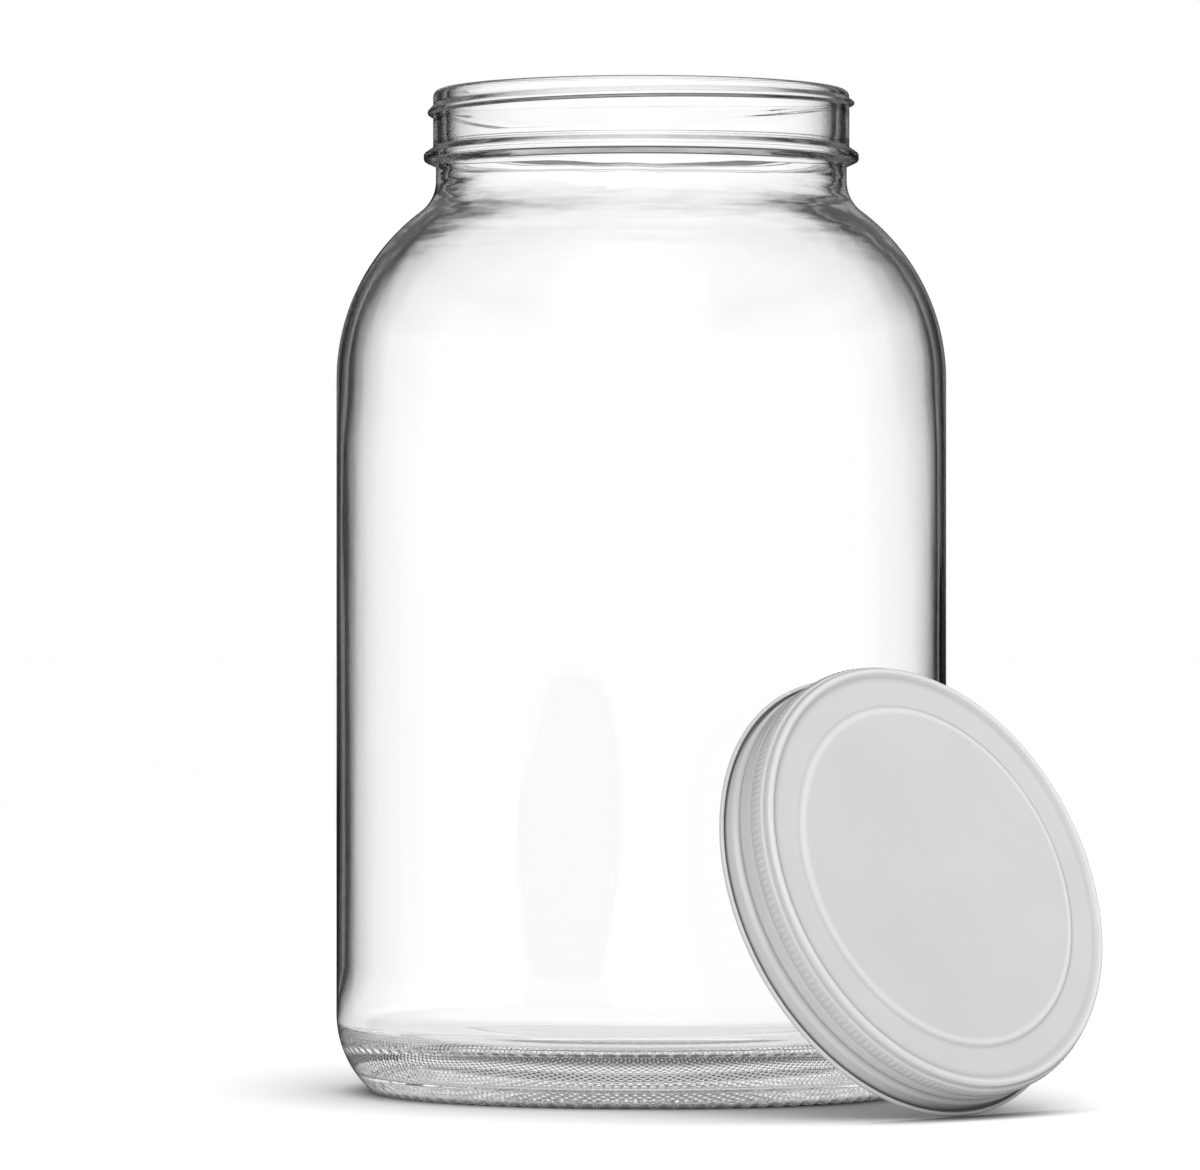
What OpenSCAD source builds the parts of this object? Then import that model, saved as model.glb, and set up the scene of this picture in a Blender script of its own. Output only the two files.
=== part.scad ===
// Wide-mouth glass jar with a one-piece metal screw lid that leans against its wall.
// Millimetres, +Z up. The origin is the centre of the jar's base, on the table.
// The lid leans towards the jar from the +X side.

/* [Jar body] */
// Diameter of the straight wall
jar_d = 156; // [150:1:164]
// Height from the table to the rim
jar_h = 256; // [225:1:300]
// Thickness of the wall and shoulder
wall = 3.5; // [2.5:0.1:4.5]
// Radius of the shoulder's curve
shoulder_r = 53.5; // [46:0.5:60]
// Radius of the hollow curve between shoulder and neck
neck_curve_r = 10; // [7:0.5:14]
// Radius of the curve at the heel
heel_r = 26; // [23:0.5:32]
// Height at which the heel's curve runs into the wall
heel_h = 20; // [16:0.5:22]

/* [Jar base] */
// Width of the flat ring that the jar stands on
bearing_w = 3; // [2:0.1:4]
// Height of the step inside the bearing ring
push_h = 3; // [2:0.1:4]
// Width of the slope of that step
push_w = 3.5; // [2.5:0.1:5]
// Rise of the domed base above that step
dome_h = 3; // [1:0.1:5]
// Thickness of the base at its centre
base_t = 5; // [4:0.1:8]
// Radius of the curve inside the heel
inner_heel_r = 17; // [12:0.5:19]

/* [Neck finish] */
// Diameter of the mouth's bore
mouth_d = 99; // [96:0.5:101]
// Diameter of the neck under the transfer bead
neck_d = 105.2; // [104.4:0.1:105.8]
// Diameter of the wall that carries the thread
finish_d = 106.6; // [106:0.1:107]
// Diameter over the transfer bead
bead_d = 111.2; // [109:0.2:113]
// Height of the transfer bead
bead_h = 3.3; // [2.6:0.1:4]
// Distance from the rim down to the top of the transfer bead
finish_h = 15.2; // [13.5:0.1:17]
// Distance from the rim down to the end of the straight neck
neck_drop = 23.2; // [21:0.1:26]
// Radius of the rounded rim
rim_r = 1.7; // [1:0.1:1.8]

/* [Screw thread] */
// Diameter over the jar's thread
thread_d = 109.6; // [109.2:0.1:109.8]
// Distance that one turn of the thread climbs
pitch = 5.08; // [4.6:0.01:5.6]
// Height of the thread's ridge where it leaves the wall
thread_w = 3.6; // [3:0.1:4]
// Angle that the jar's thread covers
thread_sweep = 352; // [300:1:359]
// Distance from the rim down to the middle of the thread's low end
thread_drop = 7.2; // [6.8:0.1:7.6]
// Angle over which the thread runs out into the wall at each end
thread_fade = 24; // [10:1:40]

/* [Lid shell] */
// Thickness of the lacquered tinplate
sheet = 0.3; // [0.25:0.01:0.35]
// Diameter of the skirt
lid_d = 110.7; // [110.6:0.1:111.2]
// Height of the lid up to the top of its rim bead
lid_h = 15.9; // [15.5:0.1:17]
// Radius of the rolled curl at the open end
curl_r = 0.6; // [0.5:0.05:0.8]
// Gap between the curl and the skirt
curl_gap = 0.3; // [0.2:0.05:0.5]
// Radius of the rim bead on the panel
rim_bead_r = 1; // [0.8:0.05:1.2]
// Distance from the skirt in to the rim bead
rim_bead_inset = 1; // [0.8:0.05:1.3]
// Distance from the top of the rim bead down to the shoulder of the skirt
lid_shoulder_drop = 1.9; // [1.7:0.05:2.2]
// Radius of the shoulder of the skirt
lid_shoulder_r = 0.6; // [0.4:0.05:0.8]
// Depth of the sunk part of the panel below the rim bead
panel_sink = 0.7; // [0.5:0.05:0.8]
// Width of the slope from the rim bead down to the panel
panel_slope_w = 2.3; // [1.5:0.1:3]
// Diameter of the raised middle of the panel
panel_ring_d = 88; // [70:1:94]
// Height of the raised middle of the panel
panel_ring_h = 0.45; // [0.2:0.05:0.6]
// Width of the slope round the raised middle
panel_ring_w = 1.2; // [0.8:0.1:2]

/* [Lid grip and thread] */
// Number of ribs round the knurled band
rib_count = 200; // [120:10:240]
// Height of the ribs
rib_h = 3.4; // [2.5:0.1:4]
// Amount by which the ribs stand out of the band
rib_out = 0.2; // [0.1:0.02:0.24]
// Amount by which the knurled band is drawn in from the skirt
band_in = 0.2; // [0.15:0.01:0.24]
// Depth to which the thread is rolled into the skirt
roll_depth = 1.05; // [0.9:0.05:1.2]
// Height of the rolled thread
roll_w = 3.2; // [2.8:0.1:3.6]
// Angle that the rolled thread covers
roll_sweep = 340; // [280:1:355]
// Height of the middle of the rolled thread at its low end
roll_start_h = 3.5; // [3.3:0.1:4]

/* [Liner] */
// Diameter of the liner
liner_d = 107.4; // [106:0.1:107.5]
// Thickness of the liner
liner_t = 1; // [0.6:0.1:1.4]
// Gap between the liner and the panel
liner_gap = 0.3; // [0.2:0.05:0.5]

/* [Where the lid leans] */
// Angle by which the lid's rim plane leans from upright
lean = 22.3; // [15:0.1:30]
// Sideways distance of the lid's centre from the jar's middle
lid_side = -8; // [-15:0.5:15]
// Gap between the lid's curl and the jar's wall
lean_gap = 0.3; // [0.2:0.05:0.5]
// Gap between the lid's curl and the table
table_gap = 0.1; // [0.05:0.05:0.3]

/* [Hidden] */
$fn = 96;

// Segments in the small, middle and large curves of an outline
few = 6;
some = 12;
many = 20;
// Overrun of a cut or a root past the surface that it crosses
over = 0.5;
// Distance by which a rolled or moulded thread starts clear of its wall
skin = 0.12;
// Sinking of the ribs' roots into the band
rib_root = 0.1;
// Rings round one turn of a thread, and points across half of its ridge
thread_rings = 48;
half_points = 3;
// Azimuth at which the jar's thread starts, in the middle of the side that the lid leaves free
thread_from = 137;
// Azimuth on the lid at which its rolled thread starts
roll_from = 150;

jar_r = jar_d / 2;
mouth_r = mouth_d / 2;
neck_r = neck_d / 2;
finish_r = finish_d / 2;
bead_r = bead_d / 2;
neck_end_z = jar_h - neck_drop;
bead_z = jar_h - finish_h - bead_h / 2;
bead_corner_r = bead_h / 3;

// Centre of the shoulder's curve: its radial place, and its height from the neck
shoulder_cr = jar_r - shoulder_r;
reach_r = shoulder_r + neck_curve_r;
shoulder_cz = neck_end_z - sqrt(pow(reach_r, 2) - pow(neck_r + neck_curve_r - shoulder_cr, 2));
inner_neck_curve_r = neck_curve_r + wall;
inner_neck_z = shoulder_cz + sqrt(pow(reach_r, 2) - pow(mouth_r + inner_neck_curve_r - shoulder_cr, 2));

// Angle of the shoulder's curve at the place where it meets the neck's curve
outer_turn = acos((neck_r + neck_curve_r - shoulder_cr) / reach_r);
inner_turn = acos((mouth_r + inner_neck_curve_r - shoulder_cr) / reach_r);

// Radius at which the heel's curve reaches the table
heel_cr = jar_r - heel_r;
heel_turn = asin(heel_h / heel_r);
foot_r = heel_cr + heel_r * cos(heel_turn);
ring_in_r = foot_r - bearing_w;
dome_r = ring_in_r - push_w;
floor_z = push_h + dome_h + base_t;
inner_r = jar_r - wall;
inner_heel_cr = inner_r - inner_heel_r;
// The inside floor is lower at the heel than in the middle, by half of the dome's rise
floor_edge_z = floor_z - dome_h / 2;

lid_r = lid_d / 2;
band_r = lid_r - band_in;
curl_cr = lid_r + curl_gap + curl_r;
rim_bead_cr = lid_r - rim_bead_inset - rim_bead_r;
rim_bead_z = lid_h - rim_bead_r;
lid_shoulder_z = lid_h - lid_shoulder_drop;
panel_z = lid_h - panel_sink;
panel_ring_z = panel_z + panel_ring_h;
panel_ring_r = panel_ring_d / 2;
liner_top = panel_z - sheet - liner_gap;
liner_r = liner_d / 2;
rib_z = lid_shoulder_z - lid_shoulder_r - rib_h;
band_slope_h = 2 * band_in;

// Places of the leaning lid: the curl's circle touches the table and the wall across small gaps
lean_r = jar_r + lean_gap + curl_r;
function lean_reach(s) =
    curl_cr * sin(lean) * cos(s) + sqrt(pow(lean_r, 2) - pow(lid_side + curl_cr * sin(s), 2));
lean_x = max([for (s = [-30:0.5:30]) lean_reach(s)]) - curl_r * cos(lean);
lean_z = curl_cr * cos(lean) + curl_r + table_gap - curl_r * sin(lean);

// Points of an arc in an outline, from one angle to another
function arc(cr, cz, r, from, to, n) =
    [for (i = [0:n]) let (a = from + (to - from) * i / n) [cr + r * cos(a), cz + r * sin(a)]];

// Outline of the glass from the middle of the underside, round the outside to the rim
function jar_outside() = concat(
    [for (i = [0:few]) let (s = i / few) [dome_r * s, push_h + dome_h * (1 - s * s)]],
    [[ring_in_r, 0]],
    arc(heel_cr, heel_h, heel_r, -heel_turn, 0, some),
    arc(shoulder_cr, shoulder_cz, shoulder_r, 0, outer_turn, many),
    arc(neck_r + neck_curve_r, neck_end_z, neck_curve_r, 180 + outer_turn, 180, some),
    [[neck_r, bead_z - bead_h / 2]],
    arc(bead_r - bead_corner_r, bead_z - bead_h / 2 + bead_corner_r, bead_corner_r, -90, 0, few),
    arc(bead_r - bead_corner_r, bead_z + bead_h / 2 - bead_corner_r, bead_corner_r, 0, 90, few),
    [[finish_r, bead_z + bead_h / 2]],
    arc(finish_r - rim_r, jar_h - rim_r, rim_r, 0, 90, few));

// Outline of the hollow from the rim down to the middle of the floor
function jar_inside() = concat(
    arc(mouth_r + rim_r, jar_h - rim_r, rim_r, 90, 180, few),
    arc(mouth_r + inner_neck_curve_r, inner_neck_z, inner_neck_curve_r, 180, 180 + inner_turn, some),
    arc(shoulder_cr, shoulder_cz, shoulder_r - wall, inner_turn, 0, many),
    arc(inner_heel_cr, floor_edge_z + inner_heel_r, inner_heel_r, 0, -90, some),
    [for (i = [few - 1:-1:0]) let (s = i / few)
        [inner_heel_cr * s, floor_edge_z + (floor_z - floor_edge_z) * (1 - s * s)]]);

// One helical ridge (way 1) on a wall, or one helical groove (way -1) in it.
// Its section is a bell that starts clear of the wall and fades out at both ends.
module helix(wall_r, depth, width, way, from, sweep, z) {
    turns = ceil(thread_rings * sweep / 360);
    points = 2 * half_points + 3;
    function fade(a) = min(1, a / thread_fade, (sweep - a) / thread_fade);
    function bell(u) = (1 + cos(180 * u)) / 2;
    function crest(u, a) = wall_r + way * ((depth + skin) * fade(a) * bell(u) - skin);
    function section(a) = concat(
        [[wall_r - way * (skin + over), -width / 2]],
        [for (j = [-half_points:half_points]) [crest(j / half_points, a), width / 2 * j / half_points]],
        [[wall_r - way * (skin + over), width / 2]]);
    function ring(a) = [for (p = section(a))
        [p[0] * cos(from + a), p[0] * sin(from + a), z + pitch * a / 360 + p[1]]];
    rings = [for (i = [0:turns]) ring(sweep * i / turns)];
    sides = [for (i = [0:turns - 1], j = [0:points - 1])
        let (a = i * points + j, b = i * points + (j + 1) % points)
        way < 0 ? [a, a + points, b] : [a, b, a + points]];
    sides_too = [for (i = [0:turns - 1], j = [0:points - 1])
        let (a = i * points + j, b = i * points + (j + 1) % points)
        way < 0 ? [b, a + points, b + points] : [b, b + points, a + points]];
    first = [for (j = [1:points - 2]) way < 0 ? [0, j, j + 1] : [0, j + 1, j]];
    last = [for (j = [1:points - 2]) let (a = turns * points)
        way < 0 ? [a, a + j + 1, a + j] : [a, a + j, a + j + 1]];
    polyhedron([for (r = rings, p = r) p], concat(sides, sides_too, first, last));
}

module glass_jar() color("aliceblue", 0.35) {
    rotate_extrude() polygon(concat(jar_outside(), jar_inside()));
    helix(finish_r, (thread_d - finish_d) / 2, thread_w, 1, thread_from, thread_sweep,
        jar_h - thread_drop);
}

// Outline of the lid, drawn in by an inset, from the middle of the panel to the open end
function lid_outline(t) = concat(
    [[0, panel_ring_z - t], [panel_ring_r, panel_ring_z - t],
     [panel_ring_r + panel_ring_w, panel_z - t],
     [rim_bead_cr - panel_slope_w, panel_z - t]],
    arc(rim_bead_cr, rim_bead_z, rim_bead_r - t, 90, 0, some),
    [[rim_bead_cr + rim_bead_r - t, lid_shoulder_z - t]],
    arc(band_r - lid_shoulder_r, lid_shoulder_z - lid_shoulder_r, lid_shoulder_r - t, 90, 0, few),
    [[band_r - t, rib_z], [lid_r - t, rib_z - band_slope_h]]);

// The sheet below the knurled band runs straight down to the curl
module lid_solid(t, bottom) rotate_extrude()
    polygon(concat(lid_outline(t), [[lid_r - t, bottom], [0, bottom]]));

module curl() rotate_extrude() {
    translate([curl_cr, curl_r]) circle(curl_r);
    translate([lid_r - sheet, 0]) square([curl_cr - lid_r + sheet, sheet]);
}

// Ribs of the knurled band, each with its root sunk into the sheet
module ribs() {
    root_r = band_r - rib_root;
    step = 360 / rib_count;
    translate([0, 0, rib_z + rib_root]) linear_extrude(rib_h - 2 * rib_root) difference() {
        polygon([for (i = [0:rib_count - 1], half = [0, 1])
            let (a = (i + half / 2) * step, r = half == 0 ? band_r + rib_out : root_r)
            [r * cos(a), r * sin(a)]]);
        circle(band_r - 2 * rib_root);
    }
}

module lean_in_place() translate([lean_x, lid_side, lean_z]) rotate([0, 90 - lean, 0]) children();

module lid_shell() color("whitesmoke") lean_in_place() {
    difference() {
        lid_solid(0, 0);
        helix(lid_r, roll_depth, roll_w, -1, roll_from, roll_sweep, roll_start_h);
        difference() {
            lid_solid(sheet, -over);
            helix(lid_r - sheet, roll_depth, roll_w, -1, roll_from, roll_sweep, roll_start_h);
        }
    }
    curl();
    ribs();
}

module lid_liner() color("ivory") lean_in_place()
    translate([0, 0, liner_top - liner_t]) cylinder(h = liner_t, r = liner_r);

glass_jar();
lid_shell();
lid_liner();
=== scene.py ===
import math

import bmesh
import bpy
from mathutils import Matrix, Vector, noise


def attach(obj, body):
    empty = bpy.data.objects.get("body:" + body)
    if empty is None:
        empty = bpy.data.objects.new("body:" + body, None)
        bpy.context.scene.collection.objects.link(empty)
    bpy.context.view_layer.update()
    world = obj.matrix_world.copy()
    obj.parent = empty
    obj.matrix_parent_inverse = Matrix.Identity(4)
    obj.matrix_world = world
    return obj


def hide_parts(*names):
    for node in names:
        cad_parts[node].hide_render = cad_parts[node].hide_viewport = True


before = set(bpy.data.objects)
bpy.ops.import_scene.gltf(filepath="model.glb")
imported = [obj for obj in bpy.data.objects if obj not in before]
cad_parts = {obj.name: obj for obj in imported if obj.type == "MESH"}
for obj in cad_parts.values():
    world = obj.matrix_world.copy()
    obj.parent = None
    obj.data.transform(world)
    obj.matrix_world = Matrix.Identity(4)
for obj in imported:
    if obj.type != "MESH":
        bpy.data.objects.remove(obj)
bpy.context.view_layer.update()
MM = 0.001

# Sizes of the jar, in millimetres, as the solids have them
JAR_R = 78.0
JAR_H = 256.0
INNER_R = 74.5
MOUTH_R = 49.5
SHOULDER_R = 53.5
SHOULDER_CR = 24.5
SHOULDER_Z = 182.0
SHOULDER_TURN = 53.13
INNER_SHOULDER_TURN = 52.68
NECK_CURVE_R = 10.0
NECK_R = 52.6
NECK_END_Z = 232.8
INNER_NECK_Z = 232.5
INNER_NECK_CURVE_R = 13.5
HEEL_R = 26.0
HEEL_CR = 52.0
HEEL_H = 20.0
HEEL_TURN = 50.285
RING_IN_R = 65.6
RING_OUT_R = 68.6
DOME_R = 62.1
FINISH_R = 53.3
RIM_R = 1.7
BEAD_R = 55.7
BEAD_FOOT = 236.5
BEAD_TOP = 241.3
FINISH_Z = BEAD_TOP + 0.25
THREAD_R = 54.8
THREAD_Z = 248.8
PITCH = 5.08

# Base of the glass, fitted to the light and dark rows that show in it: more domed below, deeper inside
PUSH_H = 2.5
DOME_H = 5.5
FLOOR_Z = 12.2
FLOOR_EDGE_Z = 7.5
INNER_HEEL_W = 34.0
INNER_HEEL_H = 10.6

# Thread: where it starts, how far it goes round and how long each end fades, in degrees; its climb, the height
# of its crest over its middle and the least room between it and the rim, in millimetres
THREAD_FROM = 137.0
THREAD_SWEEP = 352.0
THREAD_FADE = 110.0
THREAD_CLIMB = 4.3
THREAD_TIP = 0.3
THREAD_ROOM = 0.35

# Section of the thread: height over its middle, and share of its depth
THREAD_PROFILE = ((-1.1, 0), (-0.8, 0.06), (-0.62, 0.25), (-0.42, 0.7), (-0.25, 0.92), (-0.05, 1),
                  (0.3, 1), (0.55, 0.93), (0.8, 0.78), (1.5, 0.3), (1.75, 0.12), (2.1, 0))

# Parting line of the mould round the heel, notches under the bearing ring, waves of the blown inside
PARTING_TURNS = (37, 36.5, 35.9, 35.4)
PARTING_DEPTH = 0.28
NOTCH_COLUMNS = 4
NOTCH_TOP = 1.5
NOTCH_DEPTH = 0.8
NOTCH_RUN = 0.9
WAVE_DEPTH = 0.35
STREAK_DEPTH = 0.12
FOLD_DEPTH = 0.16
FOLD_Z = 226
FOLD_REACH = 7
WAVES_FROM = 17
WAVES_TO = 234

# Columns round the jar, and rows of its underside: the dome and the slope down to the bearing ring
JAR_SEGMENTS = 368
JAR_SECTORS = 8
DOME_ROWS = 13
SLOPE_ROWS = 4

# Sizes of the lid in its own frame, open end at height 0
LID_PLACE = (99.5479, -8.0, 52.5154)
LID_LEAN = 22.3
LID_R = 55.35
CURL_R = 56.35
BAND_R = 55.15
SHEET = 0.3
RIBS = 200
RIB_DEPTH = 0.34
RIB_FROM = 10.1
RIB_TO = 13.3
RIB_END = 0.4
RIB_SECTION = (0, 0.5, 1, 0.5)
LID_SEGMENTS = len(RIB_SECTION) * RIBS

# Thread rolled into the lid's skirt
ROLL_FROM = 150.0
ROLL_SWEEP = 340.0
ROLL_FADE = 24
ROLL_Z = 3.5
ROLL_W = 3.2
ROLL_DEPTH = 1.05

# Camera: distance from the jar's axis, height, and the way that it looks
CAMERA_AZIMUTH = -43.3
CAMERA_DISTANCE = 1780.0
CAMERA_HEIGHT = 118.0
LENS = 208.53
SENSOR = 36
PAN = 0.34
TILT = 0.368

# Levels of light: all round, added from the eye's side, on the floor, mirrored lamp, and backdrop seen in glass
ROUND_LEVEL = 0.2
FRONT_LEVEL = 2.25
FLOOR_LEVEL = 0.58
GLINT_LEVEL = 2.2
BACKDROP = 1.07

# Where the light from the eye's side and the mirrored lamp are: right of, behind and above the object
FRONT_WAY = (0, -0.94, 0.34)
GLINT_WAY = (-0.1, -0.8, 0.59)
GLINT_EDGE = (0.8, 0.97)

# Reach of the painted shade in corners, in metres: crevices of the lid, glass over the table, floor by the object
CREVICE_SHADE_REACH = 0.0008
FOOT_REACH = 0.0025
FLOOR_REACH = 0.08


def smooth(t):
    t = min(1.0, max(0.0, t))
    return t * t * (3 - 2 * t)


def arc(cr, cz, r, start, end, steps):
    """Points of an arc of an outline, as radius and height."""
    angles = [math.radians(start + (end - start) * i / steps) for i in range(steps + 1)]
    return [(cr + r * math.cos(a), cz + r * math.sin(a)) for a in angles]


def line(start, end, steps):
    """Points of a straight stretch of an outline, without its start."""
    return [tuple(a + (b - a) * i / steps for a, b in zip(start, end)) for i in range(1, steps + 1)]


def revolve(outline, segments, sectors=20):
    """A closed shell from an outline that starts and ends on the axis, as equal sectors joined round it."""
    bm = bmesh.new()
    row = bm.verts.layers.int.new("row")
    verts = [bm.verts.new((r, 0, z)) for r, z in outline]
    for i, vert in enumerate(verts):
        vert[row] = i
    edges = [bm.edges.new(pair) for pair in zip(verts, verts[1:])]
    bmesh.ops.spin(bm, geom=verts + edges, axis=(0, 0, 1), cent=(0, 0, 0), dvec=(0, 0, 0),
                   angle=math.tau / sectors, steps=segments // sectors, use_merge=False, use_duplicate=False)
    first = bm.verts[:] + bm.edges[:] + bm.faces[:]
    for i in range(1, sectors):
        copied = bmesh.ops.duplicate(bm, geom=first)["geom"]
        bmesh.ops.rotate(bm, cent=(0, 0, 0), matrix=Matrix.Rotation(math.tau * i / sectors, 3, "Z"),
                         verts=[v for v in copied if isinstance(v, bmesh.types.BMVert)])
    bmesh.ops.remove_doubles(bm, verts=bm.verts, dist=0.004)
    bmesh.ops.recalc_face_normals(bm, faces=bm.faces)
    return bm


def around(vert):
    """Radius of a point and its azimuth, from 0 to 360 degrees."""
    azimuth = math.degrees(math.atan2(vert.co.y, vert.co.x)) % 360
    return math.hypot(vert.co.x, vert.co.y), azimuth


def swell(vert, r, grow):
    """Moves a point at radius r outwards."""
    if grow:
        vert.co.x *= (r + grow) / r
        vert.co.y *= (r + grow) / r


def settle_order(bm):
    """Puts the faces in an order that is the same in every run."""
    bm.verts.index_update()
    count = len(bm.verts)
    bm.faces.sort(key=lambda face: face.verts[0].index * count + face.verts[1].index)


def finish_piece(bm, name, place=Matrix.Identity(4)):
    """Scales a bmesh from millimetres, puts it in place and makes its object."""
    bm.verts.layers.int.remove(bm.verts.layers.int["row"])
    settle_order(bm)
    bmesh.ops.transform(bm, matrix=Matrix.Scale(MM, 4), verts=bm.verts)
    bmesh.ops.transform(bm, matrix=place, verts=bm.verts)
    for face in bm.faces:
        face.smooth = True
    mesh = bpy.data.meshes.new(name)
    bm.to_mesh(mesh)
    bm.free()
    piece = bpy.data.objects.new(name, mesh)
    bpy.context.scene.collection.objects.link(piece)
    return piece


# Glass jar

def jar_outside():
    """From the middle of the underside, over heel, wall, shoulder, neck, bead and thread, to the top of the rim."""
    last = DOME_ROWS - 1
    outline = [(DOME_R * s / last, PUSH_H + DOME_H * (1 - (s / last) ** 2)) for s in range(DOME_ROWS)]
    outline += line(outline[-1], (RING_IN_R, 0), SLOPE_ROWS)
    outline += line(outline[-1], (RING_OUT_R - 0.3, 0), 3)
    before, groove_start, groove_end, after = PARTING_TURNS
    outline += arc(HEEL_CR, HEEL_H, HEEL_R, -HEEL_TURN, -before, 12)
    outline += arc(HEEL_CR, HEEL_H, HEEL_R - PARTING_DEPTH, -groove_start, -groove_end, 1)
    outline += arc(HEEL_CR, HEEL_H, HEEL_R, -after, 0, 18)
    outline += line(outline[-1], (JAR_R, SHOULDER_Z), 14)
    outline += arc(SHOULDER_CR, SHOULDER_Z, SHOULDER_R, 0, SHOULDER_TURN, 28)[1:]
    outline += arc(NECK_R + NECK_CURVE_R, NECK_END_Z, NECK_CURVE_R, 180 + SHOULDER_TURN, 180, 14)[1:]
    outline += line(outline[-1], (NECK_R, BEAD_FOOT - 0.3), 3)
    outline += [(NECK_R + 0.1, BEAD_FOOT), (NECK_R + 0.4, BEAD_FOOT + 0.22)]
    outline += [(BEAD_R - 0.6, BEAD_FOOT + 1.15), (BEAD_R - 0.2, BEAD_FOOT + 1.4), (BEAD_R, BEAD_FOOT + 1.8)]
    outline += [(BEAD_R, BEAD_TOP - 1.85), (BEAD_R - 0.2, BEAD_TOP - 1.5), (BEAD_R - 0.5, BEAD_TOP - 1.25)]
    outline += [(FINISH_R + 0.5, BEAD_TOP - 0.3), (FINISH_R + 0.15, BEAD_TOP - 0.05), (FINISH_R, FINISH_Z)]
    outline += line(outline[-1], (FINISH_R, THREAD_Z + THREAD_PROFILE[0][0]), 4)
    outline += [(FINISH_R + (THREAD_R - FINISH_R) * share, THREAD_Z + up) for up, share in THREAD_PROFILE]
    outline += line((FINISH_R, THREAD_Z + THREAD_PROFILE[-1][0]), (FINISH_R, JAR_H - RIM_R), 4)
    outline += arc(FINISH_R - RIM_R, JAR_H - RIM_R, RIM_R, 0, 90, 8)[1:]
    return outline


def jar_inside():
    """From the top of the rim, down the inside, to the middle of the floor."""
    outline = arc(MOUTH_R + RIM_R, JAR_H - RIM_R, RIM_R, 90, 180, 8)
    outline += line(outline[-1], (MOUTH_R, INNER_NECK_Z), 8)
    outline += arc(MOUTH_R + INNER_NECK_CURVE_R, INNER_NECK_Z, INNER_NECK_CURVE_R,
                   180, 180 + INNER_SHOULDER_TURN, 18)[1:]
    outline += arc(SHOULDER_CR, SHOULDER_Z, INNER_R - SHOULDER_CR, INNER_SHOULDER_TURN, 0, 26)[1:]
    outline += line(outline[-1], (INNER_R, FLOOR_EDGE_Z + INNER_HEEL_H), 20)
    for a in (math.radians(90 * i / 20) for i in range(1, 21)):
        outline.append((INNER_R - INNER_HEEL_W * (1 - math.cos(a)), FLOOR_EDGE_Z + INNER_HEEL_H * (1 - math.sin(a))))
    rise = FLOOR_Z - FLOOR_EDGE_Z
    floor_r = INNER_R - INNER_HEEL_W
    outline += [(floor_r * s / 10, FLOOR_EDGE_Z + rise * (1 - (s / 10) ** 2)) for s in range(9, -1, -1)]
    return outline


def climb_thread(azimuth, z):
    """New height of a point of the thread's rows at an azimuth, and the share of the depth that it keeps there."""
    low, high = THREAD_Z + THREAD_PROFILE[0][0], THREAD_Z + THREAD_PROFILE[-1][0]
    rim = JAR_H - RIM_R
    a = (azimuth - THREAD_FROM) % 360
    climb = min(PITCH * a / 360, THREAD_CLIMB)
    if a > THREAD_SWEEP:
        climb *= (360 - a) / (360 - THREAD_SWEEP)
    depth = max(0.0, min(1.0, a / THREAD_FADE, (THREAD_SWEEP - a) / THREAD_FADE))
    if z < low:
        return FINISH_Z + (z - FINISH_Z) * (low + climb - FINISH_Z) / (low - FINISH_Z), depth
    tip = THREAD_Z + THREAD_TIP
    squeeze = min(1.0, (rim - THREAD_ROOM - tip - climb) / (high - tip))
    if z <= high + 0.001:
        return climb + (z if z < tip else tip + (z - tip) * squeeze), smooth(depth)
    start = climb + tip + (high - tip) * squeeze
    return start + (z - high) * (rim - start) / (rim - high), depth


def inner_waves(azimuth, z):
    """How far the blown inside of the wall strays from round, in millimetres."""
    a = math.radians(azimuth)
    side = Vector((math.cos(a), math.sin(a), 0))
    long_waves = noise.noise(side * 3.2 + Vector((0, 0, z / 95))) * WAVE_DEPTH
    streaks = noise.noise(side * 9.0 + Vector((0, 0, z / 70))) * STREAK_DEPTH
    neck = math.exp(-((z - FOLD_Z) / FOLD_REACH) ** 2)
    folds = noise.noise(side * 6.0 + Vector((7, 3, z / 2.2))) * FOLD_DEPTH * neck
    fade = smooth((z - WAVES_FROM) / 20) * smooth((WAVES_TO - z) / 10)
    return (long_waves + streaks + folds) * fade


def make_jar():
    outside, inside = jar_outside(), jar_inside()
    bm = revolve(outside + inside, JAR_SEGMENTS, JAR_SECTORS)
    row = bm.verts.layers.int["row"]
    hollow = len(outside)
    for face in bm.faces:
        rows = [vert[row] for vert in face.verts]
        if min(rows) >= hollow:
            face.material_index = 1
        elif max(rows) < DOME_ROWS + SLOPE_ROWS:
            face.material_index = 2
    for vert in bm.verts:
        r, azimuth = around(vert)
        z = vert.co.z
        if r > FINISH_R - 0.01 and FINISH_Z + 0.05 < z < JAR_H - RIM_R - 0.01:
            vert.co.z, depth = climb_thread(azimuth, z)
            swell(vert, r, (r - FINISH_R) * (depth - 1))
        elif vert[row] >= hollow:
            swell(vert, r, inner_waves(azimuth, z))
        elif z < NOTCH_TOP and r > RING_IN_R + 0.4:
            column = round(azimuth / 360 * JAR_SEGMENTS) % NOTCH_COLUMNS
            if column < NOTCH_COLUMNS / 2:
                vert.co.z += NOTCH_DEPTH * (1 - z / NOTCH_TOP) * smooth((r - RING_IN_R) / NOTCH_RUN)
    return finish_piece(bm, "blown_jar")


# Lid

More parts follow.
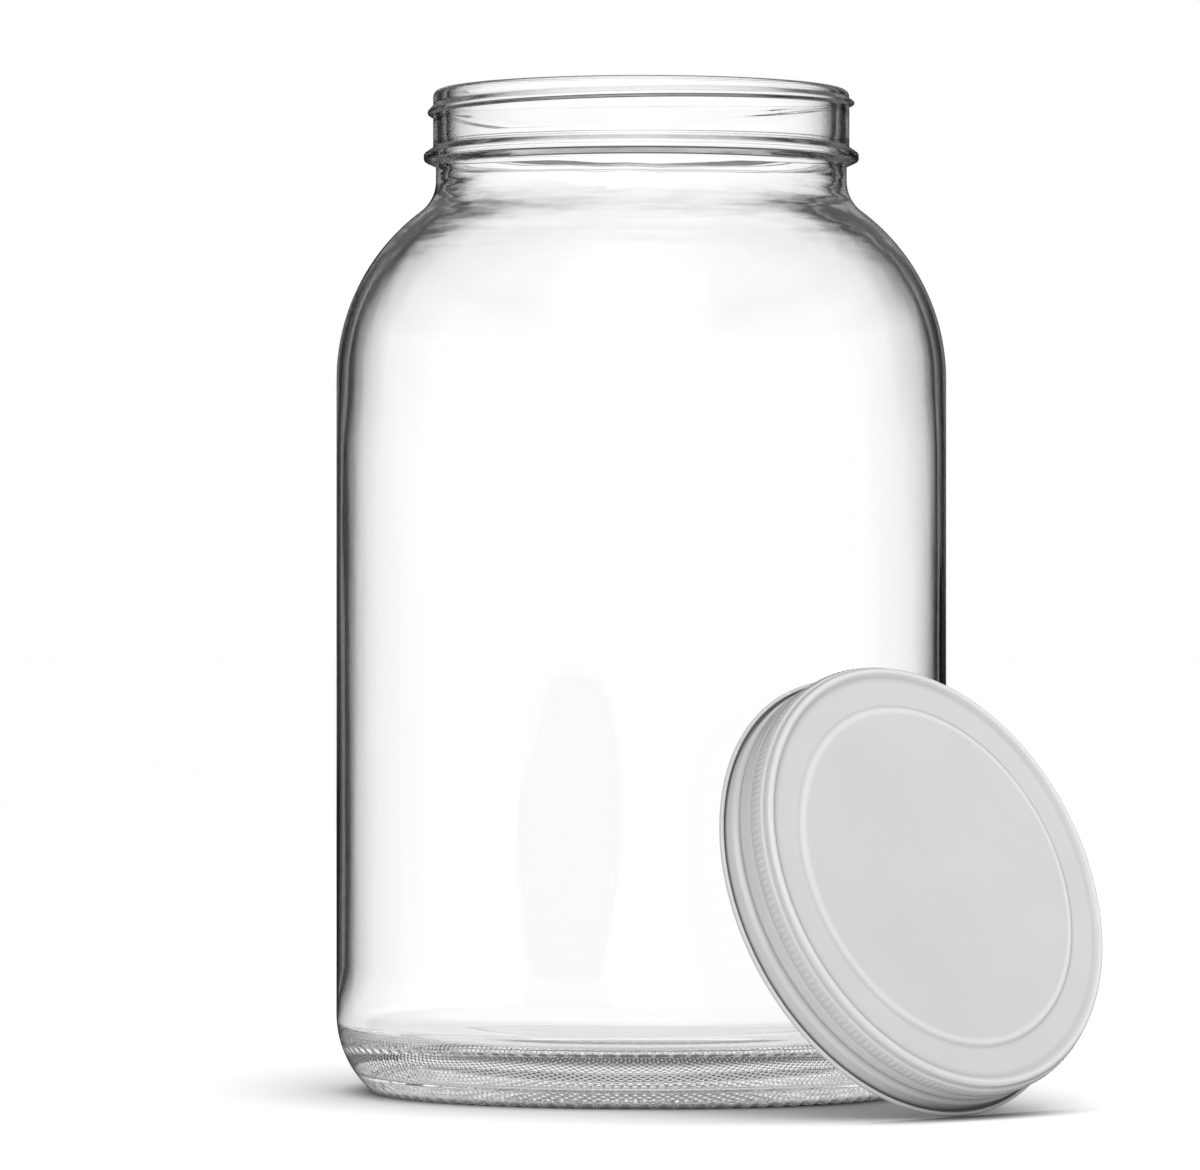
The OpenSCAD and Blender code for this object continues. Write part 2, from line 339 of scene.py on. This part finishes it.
def lid_outline():
    """From the middle of the panel's outside, over the curl, to the middle of its inside."""
    outline = [(0, 15.65), (15, 15.65), (30, 15.65), (43.0, 15.65), (43.5, 15.63), (43.75, 15.53), (44.2, 15.12)]
    outline += [(44.45, 15.02), (44.9, 15.0), (48.5, 15.0), (51.2, 15.0), (51.7, 15.03), (52.0, 15.16), (52.55, 15.66)]
    outline += arc(53.35, 14.9, 1.0, 112, 0, 11)
    outline += [(54.35, 14.5), (54.33, 14.15), (54.42, 14.0), (54.6, 13.98)]
    outline += arc(BAND_R - 0.5, 13.4, 0.5, 75, 0, 4)
    outline += [(BAND_R, z) for z in (13.15, 12.8, 11.7, 10.6, 10.2, 10.0)]
    outline += [(LID_R, 9.6)]
    outline += line((LID_R, 9.6), (LID_R, 1.2), 21)
    outline += [(LID_R, 0.6), (LID_R + 0.03, 0.3), (LID_R + 0.14, 0.16), (LID_R + 0.3, 0.2)]
    for a in (math.radians(195 - 285 * i / 14) for i in range(15)):
        outline.append((CURL_R + 0.5 * math.cos(a), 0.6 + 0.6 * math.sin(a)))
    outline += [(55.6, 0.0), (55.2, 0.06), (55.06, 0.25), (LID_R - SHEET, 0.6)]
    outline += line((LID_R - SHEET, 0.6), (LID_R - SHEET, 9.6), 14)
    outline += [(BAND_R - SHEET, 10.0), (BAND_R - SHEET, 13.3), (54.5, 13.65), (54.05, 13.9)]
    outline += arc(53.35, 14.9, 0.7, 0, 100, 6)
    outline += [(51.6, 14.75), (51.0, 14.7), (44.9, 14.7), (43.4, 15.35), (20, 15.35), (0, 15.35)]
    return outline


def roll_height(azimuth, z):
    """Depth of the rolled thread in the skirt, from 0 to 1."""
    depth = 0
    for turn in (0, 360):
        a = (azimuth - ROLL_FROM) % 360 + turn
        if a <= ROLL_SWEEP:
            u = (z - (ROLL_Z + PITCH * a / 360)) / (ROLL_W / 2)
            fade = min(1, a / ROLL_FADE, (ROLL_SWEEP - a) / ROLL_FADE)
            depth = max(depth, fade * (1 + math.cos(math.pi * u)) / 2 if abs(u) < 1 else 0)
    return depth


def make_lid_shell(place):
    bm = revolve(lid_outline(), LID_SEGMENTS)
    for vert in bm.verts:
        r, azimuth = around(vert)
        z = vert.co.z
        if 1.0 < z < 9.9 and LID_R - SHEET - 0.01 < r < LID_R + 0.01:
            swell(vert, r, -ROLL_DEPTH * roll_height(azimuth, z))
        elif RIB_FROM < z < RIB_TO and r > BAND_R - 0.01:
            column = round(azimuth / 360 * LID_SEGMENTS) % len(RIB_SECTION)
            ends = smooth((RIB_TO - z) / RIB_END) * smooth((z - RIB_FROM) / RIB_END)
            swell(vert, r, RIB_DEPTH * RIB_SECTION[column] * ends)
    return finish_piece(bm, "pressed_lid", place)


def make_liner(place):
    """A disc with a ring-shaped hollow where it bears on the glass."""
    outline = [(0, 13.6), (20, 13.6), (40, 13.6), (49.6, 13.6), (50.1, 13.63), (50.4, 13.72), (51.3, 13.75),
               (52.2, 13.72), (52.5, 13.63), (53.0, 13.6), (53.45, 13.65), (53.65, 13.85), (53.7, 14.1),
               (53.65, 14.4), (53.45, 14.58), (53.0, 14.6), (40, 14.6), (0, 14.6)]
    return finish_piece(revolve(outline, 160), "sealing_liner", place)


# Helpers for materials

def nodes_of(material):
    material.use_nodes = True
    tree = material.node_tree
    return tree, tree.nodes, tree.links


def make_group(name, inputs, outputs):
    """An empty node group with sockets given as (name, kind, value)."""
    group = bpy.data.node_groups.new(name, "ShaderNodeTree")
    for socket, kind, value in inputs:
        made = group.interface.new_socket(socket, in_out="INPUT", socket_type=kind)
        made.default_value = value
    for socket, kind in outputs:
        group.interface.new_socket(socket, in_out="OUTPUT", socket_type=kind)
    return group, group.nodes.new("NodeGroupInput"), group.nodes.new("NodeGroupOutput")


def feed(tree, value, socket):
    """Feeds a socket with a number or with another node's socket."""
    if isinstance(value, bpy.types.NodeSocket):
        tree.links.new(value, socket)
    elif value is not None:
        socket.default_value = value


def math_node(tree, operation, first, second=None):
    """Result of a Math node fed by numbers or by other nodes' sockets."""
    node = tree.nodes.new("ShaderNodeMath")
    node.operation = operation
    feed(tree, first, node.inputs[0])
    feed(tree, second, node.inputs[1])
    return node.outputs[0]


def mix_levels(tree, factor, first, second):
    """A value that goes from first to second."""
    node = tree.nodes.new("ShaderNodeMix")
    tree.links.new(factor, node.inputs["Factor"])
    feed(tree, first, node.inputs["A"])
    feed(tree, second, node.inputs["B"])
    return node.outputs["Result"]


def vector_node(tree, operation, first, second=None):
    """A Vector Math node fed by vectors or by other nodes' sockets."""
    node = tree.nodes.new("ShaderNodeVectorMath")
    node.operation = operation
    feed(tree, first, node.inputs[0])
    feed(tree, second, node.inputs[1])
    return node


def times(tree, first, second):
    """Product of two colours or levels."""
    return vector_node(tree, "MULTIPLY", first, second).outputs["Vector"]


def between(tree, value, low, high, first=0.0, last=1.0):
    """Smooth step from first to last while a value goes from low to high."""
    step = tree.nodes.new("ShaderNodeMapRange")
    step.interpolation_type = "SMOOTHSTEP"
    for name, number in (("From Min", low), ("From Max", high), ("To Min", first), ("To Max", last)):
        step.inputs[name].default_value = number
    tree.links.new(value, step.inputs["Value"])
    return step.outputs["Result"]


def color_ramp(tree, stops, fed_by):
    """A ramp from stops given as position and grey level or colour."""
    ramp = tree.nodes.new("ShaderNodeValToRGB")
    elements = ramp.color_ramp.elements
    for position, _ in stops[1:-1]:
        elements.new(position)
    for element, (position, tone) in zip(elements, stops):
        element.position = position
        element.color = (*tone, 1) if isinstance(tone, tuple) else (tone, tone, tone, 1)
    tree.links.new(fed_by, ramp.inputs["Fac"])
    return ramp.outputs["Color"]


def scaled(tree, place, scale):
    """Coordinates times a scale along each axis."""
    stretch = tree.nodes.new("ShaderNodeMapping")
    stretch.inputs["Scale"].default_value = scale
    tree.links.new(place, stretch.inputs["Vector"])
    return stretch.outputs["Vector"]


def noise_level(tree, place, scale, detail=2.0):
    """Noise from 0 to 1 on coordinates."""
    grain = tree.nodes.new("ShaderNodeTexNoise")
    grain.inputs["Scale"].default_value = scale
    grain.inputs["Detail"].default_value = detail
    tree.links.new(place, grain.inputs["Vector"])
    return grain.outputs["Fac"]


def from_axis(tree, place, scale=1.0):
    """Distance from the upright axis of some coordinates, times a scale."""
    return vector_node(tree, "LENGTH", scaled(tree, place, (scale, scale, 0))).outputs["Value"]


def height_of(tree, place):
    """Height part of some coordinates."""
    split = tree.nodes.new("ShaderNodeSeparateXYZ")
    tree.links.new(place, split.inputs[0])
    return split.outputs["Z"]


def turned_away(tree):
    """How far the surface turns away from the eye, from 0 to 1."""
    facing = tree.nodes.new("ShaderNodeLayerWeight")
    facing.inputs["Blend"].default_value = 0.5
    return facing.outputs["Facing"]


def object_place(tree):
    return tree.nodes.new("ShaderNodeTexCoord").outputs["Object"]


def add_bump(tree, height, strength, distance, shader):
    bump = tree.nodes.new("ShaderNodeBump")
    bump.inputs["Strength"].default_value = strength
    bump.inputs["Distance"].default_value = distance
    tree.links.new(height, bump.inputs["Height"])
    tree.links.new(bump.outputs["Normal"], shader.inputs["Normal"])


# Glass

def stipple_group():
    """Rows of round pimples on a diagonal grid, as a height from 0 to 1."""
    inputs = [("Vector", "NodeSocketVector", (0, 0, 0)), ("Rows per Metre", "NodeSocketFloat", 700.0)]
    group, start, end = make_group("stipple", inputs, [("Height", "NodeSocketFloat")])
    split = group.nodes.new("ShaderNodeSeparateXYZ")
    group.links.new(start.outputs["Vector"], split.inputs[0])
    turn = math_node(group, "MULTIPLY", start.outputs["Rows per Metre"], math.pi)
    waves = []
    for operation in ("ADD", "SUBTRACT"):
        along = math_node(group, operation, split.outputs["X"], split.outputs["Y"])
        waves.append(math_node(group, "COSINE", math_node(group, "MULTIPLY", along, turn)))
    dots = math_node(group, "MULTIPLY", waves[0], waves[1])
    height = math_node(group, "SMOOTH_MAX", dots, 0.0)
    height.node.inputs[2].default_value = 0.3
    group.links.new(height, end.inputs["Height"])
    return group


def glass(name):
    """Clear flint glass with a plain surface."""
    material = bpy.data.materials.new(name)
    tree, nodes = nodes_of(material)[:2]
    shader = nodes["Principled BSDF"]
    shader.inputs["Base Color"].default_value = (0.985, 0.992, 1.0, 1)
    shader.inputs["Roughness"].default_value = 0.0
    shader.inputs["IOR"].default_value = 1.5
    shader.inputs["Transmission Weight"].default_value = 1.0
    return material, tree, shader


# Painted shade at the wall's edges, as a grey level on the glass by how far it turns away from the eye: share of the
# turn, grey level
EDGE_SHADE_LEVELS = ((0.30, 1.0), (0.50, 0.80), (0.61, 0.45), (0.67, 0.14), (0.70, 0.07), (0.73, 0.008), (0.765, 0.002),
             (0.79, 0.06), (0.82, 0.012), (0.86, 0.0006), (0.91, 0.003), (0.97, 0.12))

# Streaks in that painted shade: scale along each axis, detail, and share of the turn that they shift it by
WALL_STREAKS = ((60, 60, 9), 3)
NECK_FOLDS = ((45, 45, 420), 4)
WALL_SHIFT = 0.16
NECK_SHIFT = 0.5
FINISH_SHIFT = 0.12

# Where the painted shade comes later or earlier: heights in metres that it fades between, and the shift
HEEL_SHIFT = (0.010, 0.034, -0.3, 0.0)
SHOULDER_SHIFT = (0.16, 0.185, 0.0, 0.05)
NECK_EARLIER = 0.12
NECK_STARTS = (0.205, 0.228)
FINISH_STARTS = (0.236, 0.243)


def outer_glass():
    """The outside of the glass, with painted shade in uneven streaks where it turns away from the eye and close over
    the table.
    """
    material, tree, shader = glass("flint_glass")
    place = object_place(tree)
    height = height_of(tree, place)
    streaks, folds = (math_node(tree, "SUBTRACT", noise_level(tree, scaled(tree, place, scale), 1.0, detail), 0.5)
                      for scale, detail in (WALL_STREAKS, NECK_FOLDS))
    at_neck = between(tree, height, *NECK_STARTS)
    at_finish = between(tree, height, *FINISH_STARTS)
    stray = mix_levels(tree, at_neck, math_node(tree, "MULTIPLY", streaks, WALL_SHIFT),
                       math_node(tree, "MULTIPLY", folds, NECK_SHIFT))
    stray = mix_levels(tree, at_finish, stray, math_node(tree, "MULTIPLY", streaks, FINISH_SHIFT))
    below_neck = math_node(tree, "ADD", between(tree, height, *HEEL_SHIFT), between(tree, height, *SHOULDER_SHIFT))
    earlier = mix_levels(tree, at_neck, below_neck, NECK_EARLIER)
    bent = math_node(tree, "ADD", math_node(tree, "ADD", turned_away(tree), stray), earlier)
    # Painted shade: the glass's colour darkens at its edges and close over the table
    tree.links.new(times(tree, color_ramp(tree, EDGE_SHADE_LEVELS, bent), foot_shade(tree)), shader.inputs["Base Color"])
    return material


def foot_shade(tree):
    """Painted shade on the glass close over the table, where little light gets in."""
    near = tree.nodes.new("ShaderNodeAmbientOcclusion")
    near.inputs["Distance"].default_value = FOOT_REACH
    return between(tree, near.outputs["AO"], 0.1, 0.8, 0.01, 1.0)


# Distances from the axis, in metres, that the stipple of the base fades in between, and its depth
STIPPLE_STARTS = (0.029, 0.033)
STIPPLE_DEPTH = 0.0006


def base_glass():
    """The stippled underside of the base, tinted grey as painted shade."""
    material, tree, shader = glass("flint_glass_base")
    # Painted shade: the underside's glass is tinted grey
    shader.inputs["Base Color"].default_value = (0.78, 0.785, 0.79, 1)
    place = object_place(tree)
    stipple = tree.nodes.new("ShaderNodeGroup")
    stipple.node_tree = stipple_group()
    tree.links.new(place, stipple.inputs["Vector"])
    ring = between(tree, from_axis(tree, place), *STIPPLE_STARTS)
    add_bump(tree, math_node(tree, "MULTIPLY", stipple.outputs["Height"], ring), 1.0, STIPPLE_DEPTH, shader)
    return material


# Lid and liner

# Painted shade over hollows and painted highlight over edges of the skirt: pointiness, share of the full tone
EDGE_LIGHT_AND_SHADE = ((0.36, 0.55), (0.45, 0.72), (0.48, 0.79), (0.52, 0.79), (0.56, 0.94), (0.64, 1.0))

# Painted highlight and shade lines along the panel's steps, by distance from the lid's middle: share of the rim's
# radius, share of the full tone
PANEL_LIGHT_AND_SHADE = ((0.0, 0.755), (0.745, 0.755), (0.758, 0.87), (0.772, 0.87), (0.786, 0.71), (0.80, 0.765),
               (0.895, 0.765), (0.915, 0.68), (0.93, 0.72), (0.945, 0.90), (0.975, 0.80))

# Full tone of the lacquer, with a faint cloudiness, and of the liner's foam: level of the noise, colour
LACQUER_TINT = ((0.35, (0.80, 0.805, 0.81)), (0.65, (0.83, 0.835, 0.84)))
FOAM_TINT = ((0.0, (0.66, 0.65, 0.61)), (1.0, (0.78, 0.77, 0.73)))

# Heights in the lid's frame, in metres, between which the skirt's painted light and shade give way to the panel's
SKIRT_ENDS = (0.0134, 0.0139)


def lacquer():
    """White lacquer, with painted shade in crevices and where it turns away at the rim, painted highlights over edges,
    and painted light and shade along the panel's steps.
    """
    material = bpy.data.materials.new("white_lacquer")
    tree, nodes, links = nodes_of(material)
    shader = nodes["Principled BSDF"]
    shader.inputs["Roughness"].default_value = 0.32
    shader.inputs["Coat Weight"].default_value = 0.25
    shader.inputs["Coat Roughness"].default_value = 0.12
    place = object_place(tree)
    tint = color_ramp(tree, LACQUER_TINT, noise_level(tree, place, 30, 3))
    lid_frame = nodes.new("ShaderNodeMapping")
    lid_frame.vector_type = "TEXTURE"
    lid_frame.inputs["Location"].default_value = Vector(LID_PLACE) * MM
    lid_frame.inputs["Rotation"].default_value = (0, math.radians(90 - LID_LEAN), 0)
    links.new(place, lid_frame.inputs["Vector"])
    in_lid = lid_frame.outputs["Vector"]
    # Painted light and shade: paler over edges, darker in hollows of the skirt
    edge_light_and_shade = color_ramp(tree, EDGE_LIGHT_AND_SHADE, nodes.new("ShaderNodeNewGeometry").outputs["Pointiness"])
    # Painted highlight and shade lines along the panel's steps
    panel_light_and_shade = color_ramp(tree, PANEL_LIGHT_AND_SHADE, from_axis(tree, in_lid, 1 / (CURL_R * MM)))
    skirt = between(tree, height_of(tree, in_lid), *SKIRT_ENDS, 1.0, 0.0)
    tone = mix_levels(tree, skirt, panel_light_and_shade, edge_light_and_shade)
    # Painted shade: the lacquer darkens where it turns away from the eye at the rim
    rim = between(tree, turned_away(tree), 0.62, 0.92, 1.0, 0.4)
    # Painted shade: the lacquer darkens in its crevices by ambient occlusion
    crevice_shade = nodes.new("ShaderNodeAmbientOcclusion")
    crevice_shade.inputs["Distance"].default_value = CREVICE_SHADE_REACH
    links.new(times(tree, times(tree, tint, tone), rim), crevice_shade.inputs["Color"])
    links.new(crevice_shade.outputs["Color"], shader.inputs["Base Color"])
    return material


def foam():
    material = bpy.data.materials.new("liner_foam")
    tree, nodes, links = nodes_of(material)
    shader = nodes["Principled BSDF"]
    shader.inputs["Roughness"].default_value = 0.75
    cells = noise_level(tree, object_place(tree), 900)
    add_bump(tree, cells, 0.2, 0.0002, shader)
    links.new(color_ramp(tree, FOAM_TINT, cells), shader.inputs["Base Color"])
    return material


# Floor, world, lamps and camera

# Backdrop by the sine of the angle over or under the level of the eye: through glass above, through glass below
# after a reflection inside it, through glass below without one, mirrored
SHOWN_ABOVE = ((0.0, 1.0), (0.24, 1.0), (0.34, 0.1), (0.60, 0.09), (0.72, 0.9), (1.0, 0.9))
SHOWN_BELOW = ((0.0, 1.0), (0.48, 1.0), (0.66, 0.34), (0.8, 0.12), (0.955, 0.12), (0.985, 0.95), (1.0, 1.0))
SHOWN_PLAIN = ((0.0, 1.0), (0.5, 1.0), (0.75, 0.78), (1.0, 0.85))
MIRRORED = ((0.0, 0.02), (0.14, 0.04), (0.36, 0.36), (1.0, 0.5))

# Share of the light that the floor gives back away from the object
FLOOR_WHITE = 0.97


def from_camera(right, back, up):
    """A place, in metres, given by how far right of, behind and above the jar's base it is in the picture."""
    turn = Matrix.Rotation(math.radians(CAMERA_AZIMUTH + 90), 3, "Z")
    return turn @ Vector((right, back, up))


def make_floor():
    """A white disc that keeps the object's shadow, with painted shadow from ambient occlusion near the object, and
    shows glass its own tones.
    """
    bm = bmesh.new()
    bmesh.ops.create_circle(bm, cap_ends=True, radius=30.0, segments=96)
    mesh = bpy.data.meshes.new("floor")
    bm.to_mesh(mesh)
    bm.free()
    floor = bpy.data.objects.new("floor", mesh)
    bpy.context.scene.collection.objects.link(floor)
    material = bpy.data.materials.new("floor_white")
    tree, nodes, links = nodes_of(material)
    nodes.remove(nodes["Principled BSDF"])
    path = nodes.new("ShaderNodeLightPath")

    # Painted shadow: the floor's colour and glow darken by ambient occlusion near the object
    near = nodes.new("ShaderNodeAmbientOcclusion")
    near.inputs["Distance"].default_value = FLOOR_REACH
    paint = nodes.new("ShaderNodeBsdfDiffuse")
    links.new(between(tree, near.outputs["AO"], 0.0, 0.9, 0.02, FLOOR_WHITE), paint.inputs["Color"])
    glow = nodes.new("ShaderNodeEmission")
    seen = math_node(tree, "MULTIPLY", near.outputs["AO"], path.outputs["Is Camera Ray"])
    links.new(math_node(tree, "MULTIPLY", seen, 1 - FLOOR_WHITE * FLOOR_LEVEL), glow.inputs["Strength"])
    lit = nodes.new("ShaderNodeAddShader")
    links.new(paint.outputs[0], lit.inputs[0])
    links.new(glow.outputs[0], lit.inputs[1])

    steep = math_node(tree, "SUBTRACT", 1.0, turned_away(tree))
    bounced = math_node(tree, "MINIMUM", path.outputs["Glossy Depth"], 1.0)
    through = mix_levels(tree, bounced, color_ramp(tree, SHOWN_PLAIN, steep), color_ramp(tree, SHOWN_BELOW, steep))
    through = math_node(tree, "MULTIPLY", through, BACKDROP)
    mirrored = color_ramp(tree, MIRRORED, steep)
    shown = nodes.new("ShaderNodeEmission")
    links.new(mix_levels(tree, path.outputs["Is Transmission Ray"], mirrored, through), shown.inputs["Strength"])

    choice = nodes.new("ShaderNodeMixShader")
    by_glass = math_node(tree, "MAXIMUM", path.outputs["Is Glossy Ray"], path.outputs["Is Transmission Ray"])
    links.new(by_glass, choice.inputs[0])
    links.new(lit.outputs[0], choice.inputs[1])
    links.new(shown.outputs[0], choice.inputs[2])
    links.new(choice.outputs[0], nodes["Material Output"].inputs["Surface"])
    mesh.materials.append(material)


def make_world():
    """White for the camera, soft light from the eye's side, and its own tones for glass."""
    world = bpy.data.worlds.new("studio")
    bpy.context.scene.world = world
    world.use_nodes = True
    tree = world.node_tree
    path = tree.nodes.new("ShaderNodeLightPath")
    way = tree.nodes.new("ShaderNodeTexCoord").outputs["Generated"]
    steep = math_node(tree, "ABSOLUTE", height_of(tree, way))
    to_front = vector_node(tree, "DOT_PRODUCT", way, from_camera(*FRONT_WAY)).outputs["Value"]
    front = math_node(tree, "POWER", math_node(tree, "MAXIMUM", to_front, 0.0), 3.0)
    level = math_node(tree, "ADD", math_node(tree, "MULTIPLY", front, FRONT_LEVEL), ROUND_LEVEL)
    level = mix_levels(tree, path.outputs["Is Camera Ray"], level, 1.0)
    to_lamp = vector_node(tree, "DOT_PRODUCT", way, from_camera(*GLINT_WAY)).outputs["Value"]
    glint = math_node(tree, "MULTIPLY", between(tree, to_lamp, *GLINT_EDGE), GLINT_LEVEL)
    mirrored = math_node(tree, "ADD", color_ramp(tree, MIRRORED, steep), glint)
    level = mix_levels(tree, path.outputs["Is Glossy Ray"], level, mirrored)
    through = math_node(tree, "MULTIPLY", color_ramp(tree, SHOWN_ABOVE, steep), BACKDROP)
    level = mix_levels(tree, path.outputs["Is Transmission Ray"], level, through)
    background = tree.nodes["Background"]
    background.inputs["Color"].default_value = (1, 1, 1, 1)
    tree.links.new(level, background.inputs["Strength"])


def area_lamp(name, place, target, width, height, power):
    """A softbox that lights the object but isn't seen in it."""
    data = bpy.data.lights.new(name, "AREA")
    data.shape = "RECTANGLE"
    data.size, data.size_y, data.energy = width, height, power
    lamp = bpy.data.objects.new(name, data)
    bpy.context.scene.collection.objects.link(lamp)
    lamp.location = place
    lamp.rotation_euler = (Vector(target) - Vector(place)).to_track_quat("-Z", "Y").to_euler()
    lamp.visible_camera = False
    lamp.visible_glossy = False
    lamp.visible_transmission = False


def make_lamps():
    area_lamp("side_softbox", from_camera(0.38, -0.12, 0.42), from_camera(0.06, -0.08, 0.07), 0.3, 0.3, 0.6)
    area_lamp("back_softbox", from_camera(0, 0.9, 1.3), (0, 0, 0.1), 1.2, 0.8, 5)


def make_camera():
    data = bpy.data.cameras.new("camera")
    data.lens = LENS
    data.sensor_width = SENSOR
    data.clip_end = 200
    camera = bpy.data.objects.new("camera", data)
    bpy.context.scene.collection.objects.link(camera)
    a = math.radians(CAMERA_AZIMUTH)
    camera.location = (CAMERA_DISTANCE * math.cos(a) * MM, CAMERA_DISTANCE * math.sin(a) * MM, CAMERA_HEIGHT * MM)
    camera.rotation_euler = (math.radians(90 + TILT), 0, math.radians(CAMERA_AZIMUTH + 90 + PAN))
    bpy.context.scene.camera = camera


def main():
    make_camera()
    make_world()
    make_floor()
    make_lamps()

    jar = make_jar()
    for material in (outer_glass(), glass("flint_glass_inside")[0], base_glass()):
        jar.data.materials.append(material)
    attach(jar, "jar")
    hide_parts("glass_jar")

    place = Matrix.Translation(Vector(LID_PLACE) * MM) @ Matrix.Rotation(math.radians(90 - LID_LEAN), 4, "Y")
    lid = make_lid_shell(place)
    lid.data.materials.append(lacquer())
    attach(lid, "lid")
    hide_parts("lid_shell")

    liner = make_liner(place)
    liner.data.materials.append(foam())
    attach(liner, "liner")
    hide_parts("lid_liner")


main()
bpy.context.scene.view_settings.view_transform = "Standard"
bpy.context.scene.cycles.max_bounces = 24
bpy.context.scene.cycles.glossy_bounces = 16
bpy.context.scene.cycles.transmission_bounces = 24
